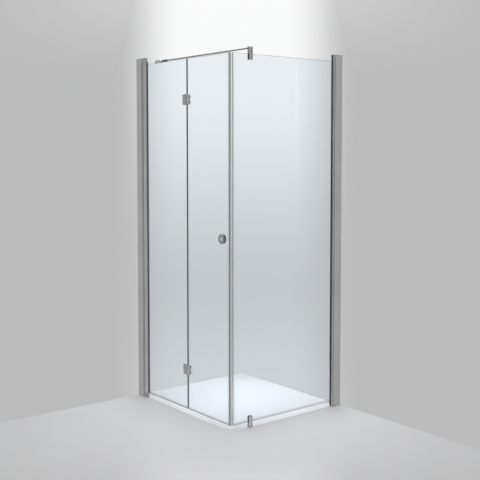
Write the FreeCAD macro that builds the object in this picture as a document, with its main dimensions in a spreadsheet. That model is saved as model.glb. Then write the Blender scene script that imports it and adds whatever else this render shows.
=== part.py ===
"""Corner shower enclosure: a folding glass door, a fixed side panel, wall profiles and a support bar.

Sizes are in mm.  X runs along the door from its wall to the side panel, Y runs from the door to the
second wall, Z is up from the floor.  The origin lies on the floor in the middle of the footprint.
"""
import FreeCAD, Part
import math
import os
import re
import Sketcher

SIZES = {
    # the whole enclosure
    "door_side": 890,  # first wall to the middle of the side panel's glass
    "panel_side": 785,  # second wall to the middle of the door's glass
    "overall_height": 2000,
    "inner_leaf_wide": 424,  # pivot axis to fold axis
    # glass
    "glass_thick": 6,
    "glass_base": 30,  # floor to the lower edges
    "glass_drop": 37,  # upper edges to the overall height
    "glass_bevel": 0.8,
    "edge_gap": 1,  # glass edge to the floor of the slot that holds it
    # channels on the walls and the profiles that slide in them
    "channel_reach": 53,
    "channel_thick": 26,
    "channel_wall": 2,
    "insert_back": 12,
    "insert_reach": 65,
    "insert_wall": 1.8,
    "slide_gap": 0.3,
    "profile_round": 0.8,
    "cap_thick": 2,
    "spigot_tall": 8,
    "spigot_gap": 1,
    "wall_hole": 6,
    "wall_hole_inset": 100,  # ends of the enclosure to the outermost wall holes
    "lock_screw_dia": 3,
    "lock_screw_in": 8,  # length behind the channel wall
    "lock_head_dia": 6.5,
    "lock_head_tall": 2,
    "lock_screw_reach": 33,  # wall to the screws
    "lock_screw_inset": 200,  # ends of the enclosure to the outermost screws
    "glaze_slot": 12,
    "glass_bite": 16,
    "gasket_lip": 1.2,
    # pivot side of the door
    "pivot_reach": 76,  # first wall to the pivot axis
    "tube_dia": 26,
    "core_dia": 10,
    "nose_reach": 20,  # pivot axis to the mouth of the tube's slot
    "nose_thick": 16,
    "nose_wall": 2,
    "turn_gap": 1.2,
    "carrier_setback": 13.5,
    "strip_wide": 4,
    "strip_deep": 3,
    "strip_clear": 0.4,
    "top_block": 22,
    "bottom_block": 26,
    "block_round": 12,
    "tube_gap": 1.2,
    "pivot_pin_dia": 8,
    "shank_tall": 30,
    "bush_wall": 1.5,
    "bush_tall": 14,
    "bush_flange": 2.5,
    "run_gap": 0.05,
    "fit_gap": 0.03,
    # fold line and its hinges
    "seam_gap": 4,
    "seal_clear": 0.3,
    "fold_offset": 9,  # outer glass face to the fold axis
    "hinge_inset": 222,  # glass ends to the middle of the hinges
    "plate_gasket": 1,
    "gasket_inset": 0.5,
    "plate_thick": 6,
    "plate_near": 7.5,
    "plate_far": 32,
    "plate_tall": 56,
    "plate_round": 6,
    "plate_edge": 1.2,
    "knuckle_dia": 12,
    "knuckle_gap": 0.4,
    "bridge_thick": 4,
    "hinge_pin_dia": 5,
    "pin_cap_dia": 9,
    "pin_cap_tall": 1.5,
    "hinge_screw_out": 19,
    "hinge_screw_rise": 15,
    "hinge_screw_dia": 5,
    "hinge_head_dia": 9,
    "hinge_head_tall": 2.8,
    "head_play": 0.2,
    "thread_deep": 4,
    "glass_hole": 11,
    "disc_dia": 16,  # clamping discs, flush with the shower side of the glass
    "disc_cone": 3,
    "socket_across": 3,
    "socket_deep": 1.5,
    # seals on the glass
    "clip_wall": 1,
    "clip_leg": 12,
    "lip_thick": 1.6,
    "lip_clear": 4,  # floor to the drip lips
    "holder_depth": 5,
    "holder_wide": 12,
    "magnet_gap": 0.7,
    "panel_setback": 9.5,  # door plane to the front edge of the side panel
    "panel_leg": 12,
    # knob
    "knob_height": 1003,
    "knob_inset": 61,  # closing edge of the glass to the knob
    "knob_dia": 52,
    "knob_reach": 4.5,
    "knob_back": 1,
    "knob_round": 1.5,
    "dish_radius": 130,
    "dish_deep": 1.5,
    "knob_washer": 0.5,
    "knob_washer_dia": 44,
    "knob_bolt_dia": 6,
    "knob_bolt_in": 2.2,
    "knob_hole": 12,
    # clamps and support bar
    "bar_setback": 125,  # door plane to the bar
    "bar_drop": 7,
    "bar_dia": 8,
    "bar_wall": 1.5,
    "clamp_wide": 22,
    "clamp_thick": 18,
    "clamp_grip": 30,  # glass edge to the far end of the clamp jaws
    "clamp_round": 1.5,
    "liner_thick": 1.5,
    "liner_inset": 1,
    "bar_bore_deep": 14,
    "base_pad": 2,
    "grub_dia": 6,
    "rosette_dia": 20,
    "rosette_thick": 4,
    "rosette_neck_dia": 12,
    "stud_hole_dia": 5,
    "stud_hole_deep": 10,
    "socket_start": 14,  # wall to the bar socket
    "socket_dia": 20,
    "socket_long": 48,
    "socket_bevel": 3,
    "socket_bore_deep": 24,
    "stem_dia": 8,
    "stem_long": 14,
    "collar_start": 74,
    "collar_dia": 14,
    "collar_long": 42,
    "collar_bevel": 1,
}

FORMULAS = {
    # walls, planes and axes
    "outer_reach": "max(channel_thick; clamp_thick) / 2",
    "front_reach": "max(glass_half + knob_washer + knob_reach; fold_setback + knuckle_dia / 2)",
    "wall_x": "-(door_side + outer_reach) / 2",
    "panel_x": "wall_x + door_side",
    "back_y": "(panel_side + front_reach) / 2",
    "door_y": "back_y - panel_side",
    "pivot_x": "wall_x + pivot_reach",
    "fold_x": "pivot_x + inner_leaf_wide",
    "fold_setback": "glass_half + fold_offset",
    "fold_y": "door_y - fold_setback",
    "bar_y": "door_y + bar_setback",
    "bar_z": "overall_height - bar_drop",
    "mid_z": "overall_height / 2",
    # glass
    "glass_half": "glass_thick / 2",
    "glass_top": "overall_height - glass_drop",
    "glass_tall": "glass_top - glass_base",
    "inner_edge_x": "fold_x - seam_gap / 2",
    "outer_edge_x": "fold_x + seam_gap / 2",
    "closing_edge_x": "panel_x - glass_half - clip_wall - 2 * holder_depth - magnet_gap",
    "panel_front_y": "door_y + panel_setback",
    "panel_back_y": "back_y - insert_reach + glass_bite",
    # profiles
    "channel_half": "channel_thick / 2",
    "insert_half": "channel_half - channel_wall - slide_gap",
    "hollow_half": "insert_half - insert_wall",
    "outer_hole_pair": "overall_height - 2 * wall_hole_inset",
    "inner_hole_pair": "outer_hole_pair / 3",
    "lock_screw_pitch": "mid_z - lock_screw_inset",
    "glaze_half": "glaze_slot / 2",
    "slot_floor": "insert_reach - glass_bite - edge_gap",
    "strip_front": "pivot_reach - tube_dia / 2 - strip_clear",
    "groove_floor": "pivot_reach - tube_dia / 2 - turn_gap - strip_deep",
    "carrier_lip": "pivot_reach - carrier_setback",
    "lock_hole_dia": "lock_screw_dia + 2 * fit_gap",
    # hinge tube
    "tube_base": "bottom_block + tube_gap",
    "tube_top": "overall_height - top_block - tube_gap",
    "tube_slot_half": "nose_thick / 2 - nose_wall",
    "tube_slot_floor": "core_dia / 2 + nose_wall",
    "bush_dia": "pivot_pin_dia + 2 * bush_wall",
    # fold hinges
    "plate_half": "plate_tall / 2",
    "plate_seat": "fold_offset - plate_gasket",
    "plate_front": "plate_seat - plate_thick",
    "pin_bore": "hinge_pin_dia + 2 * run_gap",
    "screw_bore": "hinge_screw_dia + 2 * fit_gap",
    # seals
    "clip_half": "glass_half + clip_wall",
    "holder_half": "holder_wide / 2",
    # knob
    "knob_x": "closing_edge_x - knob_inset",
    "knob_seat": "glass_half + knob_washer",
    # clamps
    "clamp_slot_half": "glass_half + liner_thick",
    "clamp_roof": "overall_height",
    "clamp_lock_x": "panel_x - clamp_thick / 2 + bar_bore_deep / 2",
    "socket_lock_x": "wall_x + socket_start + socket_long - socket_bore_deep / 2",
    "lock_long": "clamp_roof - bar_z - bar_dia / 2",
    "grub_bore": "grub_dia + 2 * fit_gap",
    "grub_long": "clamp_thick / 2 - clamp_slot_half",
}

PROFILE_SCREWS = ["mid_z - lock_screw_pitch", "mid_z", "mid_z + lock_screw_pitch"]
BLOCK_SCREWS = ["bottom_block / 2", "overall_height - top_block / 2"]
HINGES = {"lower": "glass_base + hinge_inset", "upper": "glass_top - hinge_inset"}
TOUCH = 1e-4
UP = FreeCAD.Vector(0, 0, 1)

doc = FreeCAD.newDocument("CornerShower")
sheet = doc.addObject("Spreadsheet::Sheet", "Sizes")
for row, (name, size) in enumerate(SIZES.items(), 1):
    sheet.set(f"A{row}", name)
    sheet.set(f"B{row}", str(size))
    sheet.setAlias(f"B{row}", name)
doc.recompute()


def formula(text):
    """Write out the derived names of a formula and point its driving names at the sheet."""

    def spelled(match):
        word = match.group(0)
        if word in FORMULAS:
            return "(" + formula(FORMULAS[word]) + ")"
        return "Sizes." + word if word in SIZES else word

    return re.sub(r"[a-z_]+", spelled, text)


def bind(item, prop, text):
    """Tie one property of an object to a formula of the sheet's sizes."""
    item.setExpression(prop, formula(text))


def new_body(label, x="0", y="0", z="0", turn=0):
    """Start a sub-part, standing at a point and turned about Z by an angle in degrees."""
    body = doc.addObject("PartDesign::Body", label)
    body.Label = label
    body.Placement = FreeCAD.Placement(FreeCAD.Vector(), FreeCAD.Rotation(UP, turn))
    for axis, text in (("x", x), ("y", y), ("z", z)):
        bind(body, f"Placement.Base.{axis}", text)
    return body


def draw_loop(sketch, points):
    """Draw one closed outline of straight edges and tie every corner to its two formulas."""
    first = sketch.GeometryCount
    count = len(points)
    steps = [2 * math.pi * number / count for number in range(count)]
    rough = [FreeCAD.Vector(math.cos(step), math.sin(step), 0) for step in steps]
    for number in range(count):
        line = Part.LineSegment(rough[number], rough[(number + 1) % count])
        sketch.addGeometry(line, False)
    for number in range(count):
        joined = Sketcher.Constraint("Coincident", first + number, 2, first + (number + 1) % count, 1)
        sketch.addConstraint(joined)
    for number, point in enumerate(points):
        tie_point(sketch, first + number, 1, point, rough[number])


def draw_circle(sketch, x, y, diameter):
    """Draw one circle and tie its centre and diameter to their formulas."""
    rough = FreeCAD.Vector(1, 1, 0)
    number = sketch.addGeometry(Part.Circle(rough, UP, 1), False)
    tie_point(sketch, number, 3, (x, y), rough)
    size = sketch.addConstraint(Sketcher.Constraint("Diameter", number, 2))
    bind(sketch, f"Constraints[{size}]", diameter)


def tie_point(sketch, number, end, point, rough):
    """Hold one point of a sketch at two formulas, measured from the sketch's origin."""
    for kind, text, start in zip(("DistanceX", "DistanceY"), point, (rough.x, rough.y)):
        tie = sketch.addConstraint(Sketcher.Constraint(kind, -1, 1, number, end, start))
        bind(sketch, f"Constraints[{tie}]", text)


def draw(body, plane, loops=(), circles=(), lift="0", shift="0"):
    """Make a sketch on one of the body's own planes, lifted along its normal and shifted sideways."""
    sketch = body.newObject("Sketcher::SketchObject", body.Name + "_sketch")
    support = next(item for item in body.Origin.OriginFeatures if item.Role == plane)
    sketch.AttachmentSupport = [(support, "")]
    sketch.MapMode = "FlatFace"
    bind(sketch, "AttachmentOffset.Base.z", lift)
    bind(sketch, "AttachmentOffset.Base.x", shift)
    for points in loops:
        draw_loop(sketch, points)
    for circle in circles:
        draw_circle(sketch, *circle)
    return sketch


def pad(body, sketch, length, side="One side"):
    """Raise a sketch along its normal, or to both sides of its plane."""
    feature = body.newObject("PartDesign::Pad", body.Name + "_pad")
    feature.Profile = sketch
    feature.SideType = side
    bind(feature, "Length", length)
    return feature


def cut(body, sketch, length):
    """Cut a sketch out of the body, half of the length to each side of the sketch's plane."""
    feature = body.newObject("PartDesign::Pocket", body.Name + "_cut")
    feature.Profile = sketch
    feature.SideType = "Symmetric"
    bind(feature, "Length", length)
    return feature


def turn_on(body, plane, axis, profile, lift="0", shift="0", kind="Revolution"):
    """Turn a profile round one axis of its sketch, as solid metal or, with kind Groove, as a recess."""
    sketch = draw(body, plane, [profile], lift=lift, shift=shift)
    feature = body.newObject(f"PartDesign::{kind}", body.Name + "_turned")
    feature.Profile = sketch
    feature.ReferenceAxis = (sketch, [axis])
    feature.Angle = 360
    return feature


def straight_edges(body, along, sides):
    """Name the straight edges that run along an axis and lie on all the given sides of the body's box."""
    doc.recompute()
    shape = body.Tip.Shape
    names = []
    for number, edge in enumerate(shape.Edges, 1):
        own = edge.BoundBox
        spans = {"X": own.XLength, "Y": own.YLength, "Z": own.ZLength}
        length = spans.pop(along)
        on_sides = all(abs(getattr(own, side) - getattr(shape.BoundBox, side)) < TOUCH for side in sides)
        if length > TOUCH and max(spans.values()) < TOUCH and on_sides:
            names.append(f"Edge{number}")
    return names


def rim_edges(body, *sides):
    """Name the edges that lie wholly in the planes of the given sides of the body's box."""
    doc.recompute()
    shape = body.Tip.Shape
    names = []
    for number, edge in enumerate(shape.Edges, 1):
        for side in sides:
            ends = [getattr(edge.BoundBox, side[0] + end) for end in ("Min", "Max")]
            if all(abs(end - getattr(shape.BoundBox, side)) < TOUCH for end in ends):
                names.append(f"Edge{number}")
    return names


def soften(body, names, size, kind="Fillet"):
    """Round or bevel the named edges of the body's newest feature."""
    base = body.Tip
    feature = body.newObject(f"PartDesign::{kind}", f"{body.Name}_{kind.lower()}")
    feature.Base = (base, names)
    bind(feature, "Radius" if kind == "Fillet" else "Size", size)
    return feature


def rectangle(left, bottom, right, top):
    """List the corners of an upright rectangle."""
    return [(left, bottom), (right, bottom), (right, top), (left, top)]


def hexagon(x, y, across):
    """List the corners of a hexagon that measures `across` between its flats."""
    corners = [f"{across} / (2 * cos(30 deg)) * cos({angle} deg)" for angle in range(0, 360, 60)]
    heights = [f"{across} / (2 * cos(30 deg)) * sin({angle} deg)" for angle in range(0, 360, 60)]
    return [(f"{x} + {corner}", f"{y} + {height}") for corner, height in zip(corners, heights)]


def wall_channel(label, x, y, turn, inner, screw_heights):
    """Build the U-shaped channel that is screwed to a wall; `inner` is the sign of its shower side."""
    body = new_body(label, x, y, "cap_thick", turn)
    shelf = "channel_half - channel_wall"
    section = [
        ("0", "-channel_half"),
        ("channel_reach", "-channel_half"),
        ("channel_reach", f"-({shelf})"),
        ("channel_wall", f"-({shelf})"),
        ("channel_wall", shelf),
        ("channel_reach", shelf),
        ("channel_reach", "channel_half"),
        ("0", "channel_half"),
    ]
    pad(body, draw(body, "XY_Plane", [section]), "overall_height - 2 * cap_thick")
    lips = straight_edges(body, "Z", ("XMax", "YMin")) + straight_edges(body, "Z", ("XMax", "YMax"))
    soften(body, lips, "profile_round")
    middle = "mid_z - cap_thick"
    holes = [
        ("0", f"{middle} + {sign} * {pair} / 2", "wall_hole")
        for pair in ("outer_hole_pair", "inner_hole_pair")
        for sign in (-1, 1)
    ]
    cut(body, draw(body, "YZ_Plane", circles=holes, lift="channel_wall / 2"), "2 * channel_wall")
    holes = [("lock_screw_reach", f"{height} - cap_thick", "lock_hole_dia") for height in screw_heights]
    wall_middle = f"-({inner}) * (channel_half - channel_wall / 2)"
    cut(body, draw(body, "XZ_Plane", circles=holes, lift=wall_middle), "2 * channel_wall")
    return body


def lock_screws(left_heights, right_heights):
    """Build the screws that hold the sliding profiles in their channels, as one group."""
    body = new_body("profile_lock_screws")
    long = "channel_wall + lock_screw_in"
    left_face = "door_y + channel_half"
    right_face = "panel_x - channel_half"
    for diameter, length, left, right in (
        ("lock_screw_dia", long, f"{left_face} - ({long}) / 2", f"{right_face} + ({long}) / 2"),
        (
            "lock_head_dia",
            "lock_head_tall",
            f"{left_face} + lock_head_tall / 2",
            f"{right_face} - lock_head_tall / 2",
        ),
    ):
        circles = [("wall_x + lock_screw_reach", height, diameter) for height in left_heights]
        pad(body, draw(body, "XZ_Plane", circles=circles, lift=f"-({left})"), length, "Symmetric")
        circles = [("back_y - lock_screw_reach", height, diameter) for height in right_heights]
        pad(body, draw(body, "YZ_Plane", circles=circles, lift=right), length, "Symmetric")


def end_cap(label, x, y, turn, outline, at_top):
    """Build a flat cap on the end of a channel, with a spigot behind the sliding profile."""
    body = new_body(label, x, y, "overall_height - cap_thick" if at_top else "0", turn)
    pad(body, draw(body, "XY_Plane", [outline]), "cap_thick")
    soften(body, rim_edges(body, "ZMax" if at_top else "ZMin"), "profile_round")
    spigot = rectangle(
        "channel_wall + spigot_gap",
        "-(insert_half - spigot_gap)",
        "insert_back - spigot_gap",
        "insert_half - spigot_gap",
    )
    lift = "-spigot_tall" if at_top else "cap_thick / 2"
    tall = "spigot_tall + cap_thick / 2"
    pad(body, draw(body, "XY_Plane", [spigot], lift=lift), tall)
    return body


def glazing_gasket(label, x, y, z, turn, side, half, floor, mouth, tall):
    """Build one rubber strip between a glass face and the wall of its slot, with a lip at the mouth."""
    body = new_body(label, x, y, z, turn)
    section = [
        (floor, f"{side} * glass_half"),
        (f"{mouth} + gasket_lip", f"{side} * glass_half"),
        (f"{mouth} + gasket_lip", f"{side} * ({half} + insert_wall / 2)"),
        (mouth, f"{side} * ({half} + insert_wall / 2)"),
        (mouth, f"{side} * {half}"),
        (floor, f"{side} * {half}"),
    ]
    pad(body, draw(body, "XY_Plane", [section]), tall)
    return body


def glass_pane(label, plane, origin, low, high, holes=(), cones=()):
    """Build an upright pane between two plan positions, with bevelled edges, plain holes and coned holes."""
    body = new_body(label, *origin)
    outline = rectangle(low, "glass_base", high, "glass_top")
    pad(body, draw(body, plane, [outline], holes), "glass_thick", "Symmetric")
    sides = ("XMin", "XMax") if plane == "YZ_Plane" else ("YMin", "YMax")
    shape_edges = rim_edges(body, *sides)
    shape = body.Tip.Shape
    straight = [name for name in shape_edges if shape.getElement(name).Curve.TypeId == "Part::GeomLine"]
    soften(body, straight, "glass_bevel", "Chamfer")
    profile = [
        ("0", "-(glass_half + edge_gap)"),
        ("glass_hole / 2", "-(glass_half + edge_gap)"),
        ("glass_hole / 2", "glass_half - disc_cone"),
        ("disc_dia / 2", "glass_half"),
        ("disc_dia / 2", "glass_half + edge_gap"),
        ("0", "glass_half + edge_gap"),
    ]
    for x, z in cones:
        turn_on(body, "XY_Plane", "V_Axis", profile, z, x, "Groove")


def drip_seal(label, plane, origin, runs):
    """Build clips on the lower edge of a pane, each with a lip that hangs down to the floor."""
    body = new_body(label, *origin)
    foot = "-(glass_base - lip_clear)"
    section = [
        ("-clip_half", "clip_leg"),
        ("-clip_half", "-clip_wall"),
        ("-lip_thick / 2", "-clip_wall"),
        ("-lip_thick / 2", foot),
        ("lip_thick / 2", foot),
        ("lip_thick / 2", "-clip_wall"),
        ("clip_half", "-clip_wall"),
        ("clip_half", "clip_leg"),
        ("glass_half", "clip_leg"),
        ("glass_half", "0"),
        ("-glass_half", "0"),
        ("-glass_half", "clip_leg"),
    ]
    for lift, length in runs:
        pad(body, draw(body, plane, [section], lift=lift), length)


def left_side():
    """Build the channel, carrier and pivot blocks at the first wall."""
    wall = ("wall_x", "door_y")
    wall_channel("left_wall_channel", *wall, 0, 1, PROFILE_SCREWS + BLOCK_SCREWS)
    outline = rectangle("0", "-channel_half", "channel_reach", "channel_half")
    end_cap("left_top_cap", *wall, 0, outline, True)
    end_cap("left_bottom_cap", *wall, 0, outline, False)

    carrier = new_body("hinge_carrier", *wall, "bottom_block")
    section = [
        ("insert_back", "-insert_half"),
        ("carrier_lip", "-insert_half"),
        ("carrier_lip", "-strip_wide / 2"),
        ("groove_floor", "-strip_wide / 2"),
        ("groove_floor", "strip_wide / 2"),
        ("carrier_lip", "strip_wide / 2"),
        ("carrier_lip", "insert_half"),
        ("insert_back", "insert_half"),
    ]
    hollow_end = "groove_floor - insert_wall"
    hollow = rectangle("insert_back + insert_wall", "-hollow_half", hollow_end, "hollow_half")
    tall = "overall_height - bottom_block - top_block"
    pad(carrier, draw(carrier, "XY_Plane", [section, hollow]), tall)
    sweep = ("pivot_reach", "0", "tube_dia + 2 * turn_gap")
    cut(carrier, draw(carrier, "XY_Plane", circles=[sweep]), f"3 * ({tall})")
    holes = [("lock_screw_reach", f"{height} - bottom_block", "lock_hole_dia") for height in PROFILE_SCREWS]
    cut(carrier, draw(carrier, "XZ_Plane", circles=holes, lift="-insert_half"), "4 * insert_wall")

    strip = new_body("carrier_seal_strip", *wall, "bottom_block")
    outline = rectangle("groove_floor", "-strip_wide / 2", "strip_front", "strip_wide / 2")
    pad(strip, draw(strip, "XY_Plane", [outline]), tall)

    pivot_block("top_pivot_block", "overall_height - top_block", "top_block", True)
    pivot_block("bottom_pivot_block", "0", "bottom_block", False)


def pivot_block(label, base, tall, at_top):
    """Build the block that carries one pivot bush, with a tongue inside the channel."""
    body = new_body(label, "wall_x", "door_y", base)
    outline = rectangle("channel_reach", "-channel_half", "pivot_reach + channel_half", "channel_half")
    pad(body, draw(body, "XY_Plane", [outline]), tall)
    nose = straight_edges(body, "Z", ("XMax", "YMin")) + straight_edges(body, "Z", ("XMax", "YMax"))
    soften(body, nose, "block_round")
    soften(body, rim_edges(body, "ZMax" if at_top else "ZMin"), "profile_round")
    tongue = rectangle("insert_back", "-insert_half", "channel_reach + channel_wall", "insert_half")
    lift = "0" if at_top else "cap_thick"
    pad(body, draw(body, "XY_Plane", [tongue], lift=lift), f"{tall} - cap_thick")
    bore = ("pivot_reach", "0", "bush_dia + 2 * fit_gap")
    mouth = "0" if at_top else tall
    cut(body, draw(body, "XY_Plane", circles=[bore], lift=mouth), "2 * (bush_tall + edge_gap)")
    hole = ("lock_screw_reach", f"{tall} / 2", "lock_hole_dia")
    cut(body, draw(body, "XZ_Plane", circles=[hole], lift="-insert_half"), "2 * lock_screw_in")


def pivots():
    """Turn the bushes in both pivot blocks and the pins in both ends of the hinge tube."""
    bushes = new_body("pivot_bushes", "pivot_x", "door_y")
    pins = new_body("pivot_pins", "pivot_x", "door_y")
    bush_bore = "pivot_pin_dia / 2 + run_gap"
    flange = "bush_dia / 2 + bush_flange"
    shank = "core_dia / 2 - fit_gap"
    ends = ((1, "overall_height - top_block", "tube_top"), (-1, "bottom_block", "tube_base"))
    for way, face, tube_end in ends:
        bush_end = f"{face} + {way} * bush_tall"
        profile = [
            (bush_bore, bush_end),
            (bush_bore, tube_end),
            (flange, tube_end),
            (flange, face),
            ("bush_dia / 2", face),
            ("bush_dia / 2", bush_end),
        ]
        turn_on(bushes, "XZ_Plane", "V_Axis", profile)
        shank_end = f"{tube_end} - ({way}) * shank_tall"
        profile = [
            ("0", shank_end),
            (shank, shank_end),
            (shank, tube_end),
            ("pivot_pin_dia / 2", tube_end),
            ("pivot_pin_dia / 2", bush_end),
            ("0", bush_end),
        ]
        turn_on(pins, "XZ_Plane", "V_Axis", profile)


def right_side():
    """Build the channel, glazing profile and side panel at the second wall."""
    wall = ("panel_x", "back_y")
    wall_channel("right_wall_channel", *wall, -90, -1, PROFILE_SCREWS)
    outline = [
        ("0", "-channel_half"),
        ("channel_reach", "-channel_half"),
        ("channel_reach", "-insert_half"),
        ("insert_reach", "-insert_half"),
        ("insert_reach", "insert_half"),
        ("channel_reach", "insert_half"),
        ("channel_reach", "channel_half"),
        ("0", "channel_half"),
    ]
    end_cap("right_top_cap", *wall, -90, outline, True)
    end_cap("right_bottom_cap", *wall, -90, outline, False)

    profile = new_body("glazing_profile", *wall, "cap_thick", -90)
    section = [
        ("insert_back", "-insert_half"),
        ("insert_reach", "-insert_half"),
        ("insert_reach", "-glaze_half"),
        ("slot_floor", "-glaze_half"),
        ("slot_floor", "glaze_half"),
        ("insert_reach", "glaze_half"),
        ("insert_reach", "insert_half"),
        ("insert_back", "insert_half"),
    ]
    hollow_end = "slot_floor - insert_wall"
    hollow = rectangle("insert_back + insert_wall", "-hollow_half", hollow_end, "hollow_half")
    pad(profile, draw(profile, "XY_Plane", [section, hollow]), "overall_height - 2 * cap_thick")
    lips = straight_edges(profile, "Z", ("XMax", "YMin")) + straight_edges(profile, "Z", ("XMax", "YMax"))
    soften(profile, lips, "profile_round")
    holes = [("lock_screw_reach", f"{height} - cap_thick", "lock_hole_dia") for height in PROFILE_SCREWS]
    cut(profile, draw(profile, "XZ_Plane", circles=holes, lift="insert_half"), "4 * insert_wall")

    for name, side in (("outside", 1), ("inside", -1)):
        glazing_gasket(
            f"panel_gasket_{name}",
            *wall,
            "glass_base",
            -90,
            side,
            "glaze_half",
            "slot_floor",
            "insert_reach",
            "glass_tall",
        )
    glass_pane("panel_glass", "YZ_Plane", ("panel_x", "0", "0"), "panel_front_y", "panel_back_y")
    clamp_front = "bar_y - clamp_wide / 2"
    clamp_back = "bar_y + clamp_wide / 2"
    seal_end = "back_y - insert_reach - gasket_lip"
    runs = [
        (f"-({clamp_front})", f"{clamp_front} - panel_front_y - panel_leg"),
        (f"-({seal_end})", f"{seal_end} - ({clamp_back})"),
    ]
    drip_seal("panel_drip_seal", "XZ_Plane", ("panel_x", "0", "glass_base"), runs)

    holder = new_body("panel_magnet_holder", "panel_x", "door_y", "glass_base")
    inner = "-(clip_half + holder_depth)"
    leg_end = "panel_setback + panel_leg"
    section = [
        ("clip_half", "-holder_half"),
        ("clip_half", leg_end),
        ("glass_half", leg_end),
        ("glass_half", "panel_setback"),
        ("-glass_half", "panel_setback"),
        ("-glass_half", leg_end),
        ("-clip_half", leg_end),
        ("-clip_half", "holder_half"),
        (inner, "holder_half"),
        (inner, "-holder_half"),
    ]
    nose = rectangle(
        "-glass_half",
        "-(holder_half - clip_wall)",
        "glass_half",
        "panel_setback - clip_wall",
    )
    room = rectangle(
        f"{inner} + clip_wall",
        "-(holder_half - clip_wall)",
        "-(clip_half + clip_wall)",
        "holder_half - clip_wall",
    )
    pad(holder, draw(holder, "XY_Plane", [section, nose, room]), "glass_tall")
    magnet = new_body("panel_magnet", "panel_x", "door_y", "glass_base")
    pad(magnet, draw(magnet, "XY_Plane", [room]), "glass_tall")


def inner_leaf():
    """Build the hinge tube and the pane of the first leaf, with its seals."""
    axis = ("pivot_x", "door_y", "tube_base")
    tall = "tube_top - tube_base"
    tube = new_body("hinge_tube", *axis)
    pad(tube, draw(tube, "XY_Plane", circles=[("0", "0", "tube_dia")]), tall)
    nose = rectangle("0", "-nose_thick / 2", "nose_reach", "nose_thick / 2")
    pad(tube, draw(tube, "XY_Plane", [nose]), tall)
    tips = straight_edges(tube, "Z", ("XMax",))
    soften(tube, tips, "profile_round")
    slot = rectangle("tube_slot_floor", "-tube_slot_half", "2 * nose_reach", "tube_slot_half")
    cut(tube, draw(tube, "XY_Plane", [slot], [("0", "0", "core_dia")]), f"3 * ({tall})")
    for name, side in (("outside", -1), ("inside", 1)):
        glazing_gasket(
            f"leaf_gasket_{name}",
            *axis,
            0,
            side,
            "tube_slot_half",
            "tube_slot_floor",
            "nose_reach",
            tall,
        )
    start = "pivot_x + tube_slot_floor + edge_gap"
    plane = ("XZ_Plane", ("0", "door_y", "0"))
    glass_pane("inner_leaf_glass", *plane, start, "inner_edge_x", cones=hinge_points(-1, "fold_x"))
    seal_start = "pivot_x + nose_reach + gasket_lip"
    runs = [(seal_start, f"inner_edge_x - ({seal_start})")]
    drip_seal("inner_leaf_drip_seal", "YZ_Plane", ("0", "door_y", "glass_base"), runs)

    seal = new_body("fold_seal", "inner_edge_x", "door_y", "glass_base")
    wide = "seam_gap - seal_clear"
    outline = rectangle("0", "-glass_half", wide, "glass_half")
    hollow = rectangle(
        "clip_wall",
        "-(glass_half - clip_wall)",
        f"{wide} - clip_wall",
        "glass_half - clip_wall",
    )
    pad(seal, draw(seal, "XY_Plane", [outline, hollow]), "glass_tall")


def outer_leaf():
    """Build the pane of the second leaf, with its seals, magnet and knob."""
    plane = ("XZ_Plane", ("0", "door_y", "0"))
    holes = [("knob_x", "knob_height", "knob_hole")]
    cones = hinge_points(1, "fold_x")
    glass_pane("outer_leaf_glass", *plane, "outer_edge_x", "closing_edge_x", holes, cones)
    runs = [("outer_edge_x", "closing_edge_x - clip_leg - outer_edge_x")]
    drip_seal("outer_leaf_drip_seal", "YZ_Plane", ("0", "door_y", "glass_base"), runs)

    holder = new_body("door_magnet_holder", "closing_edge_x", "door_y", "glass_base")
    section = [
        ("-clip_leg", "-clip_half"),
        ("0", "-clip_half"),
        ("0", "-holder_half"),
        ("holder_depth", "-holder_half"),
        ("holder_depth", "holder_half"),
        ("0", "holder_half"),
        ("0", "clip_half"),
        ("-clip_leg", "clip_half"),
        ("-clip_leg", "glass_half"),
        ("0", "glass_half"),
        ("0", "-glass_half"),
        ("-clip_leg", "-glass_half"),
    ]
    room = rectangle(
        "clip_wall",
        "-(holder_half - clip_wall)",
        "holder_depth - clip_wall",
        "holder_half - clip_wall",
    )
    pad(holder, draw(holder, "XY_Plane", [section, room]), "glass_tall")
    magnet = new_body("door_magnet", "closing_edge_x", "door_y", "glass_base")
    pad(magnet, draw(magnet, "XY_Plane", [room]), "glass_tall")

    knob("knob_outside", "door_y - knob_seat", 180)
    knob("knob_inside", "door_y + knob_seat", 0)
    washers = new_body("knob_washers", "knob_x", "door_y", "knob_height")
    ring = [("0", "0", "knob_washer_dia"), ("0", "0", "knob_bolt_dia + 2 * fit_gap")]
    for side in (-1, 1):
        lift = f"{side} * (glass_half + knob_washer / 2)"
        pad(washers, draw(washers, "XZ_Plane", circles=ring, lift=lift), "knob_washer", "Symmetric")
    sleeve = new_body("knob_sleeve", "knob_x", "door_y", "knob_height")
    ring = [("0", "0", "knob_hole - 2 * fit_gap"), ("0", "0", "knob_bolt_dia + 2 * fit_gap")]
    pad(sleeve, draw(sleeve, "XZ_Plane", circles=ring), "glass_thick", "Symmetric")
    bolt = new_body("knob_bolt", "knob_x", "door_y", "knob_height")
    rod = draw(bolt, "XZ_Plane", circles=[("0", "0", "knob_bolt_dia")])
    pad(bolt, rod, "2 * (knob_seat + knob_bolt_in)", "Symmetric")


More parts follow.
